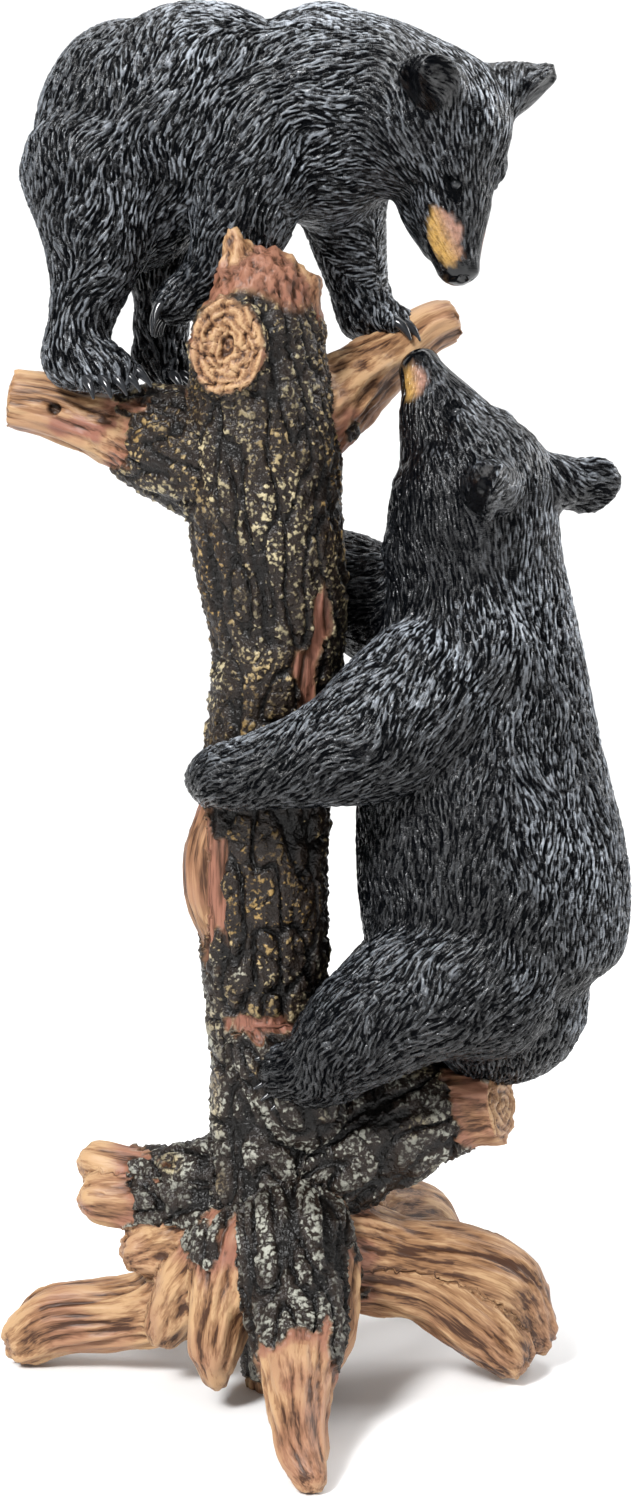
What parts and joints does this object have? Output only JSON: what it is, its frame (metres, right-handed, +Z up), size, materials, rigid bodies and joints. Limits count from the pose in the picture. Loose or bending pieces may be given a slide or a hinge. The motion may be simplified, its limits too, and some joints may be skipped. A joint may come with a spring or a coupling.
{
  "type": "bear statue",
  "caption": "Painted resin group of black bears on a broken, rooted tree: one stands on the upper branches and looks down, one climbs the trunk.",
  "frame": {"origin": "middle of the flat underside of the root crown, on the surface that the group stands on", "axes": "+Z up, -Y towards the viewer of the front, +X towards the climbing bear"},
  "size_m": [0.5573, 0.5159, 1.2],
  "materials": {
    "painted_wood": "cast resin painted as dark bark with tan and pink bare wood, satin",
    "bear_black": "cast resin painted gloss black with a silver dry-brushed fur"
  },
  "bodies": {
    "root": {"tree": "painted_wood", "standing_bear": "bear_black", "climbing_bear": "bear_black"}
  },
  "joints": []
}
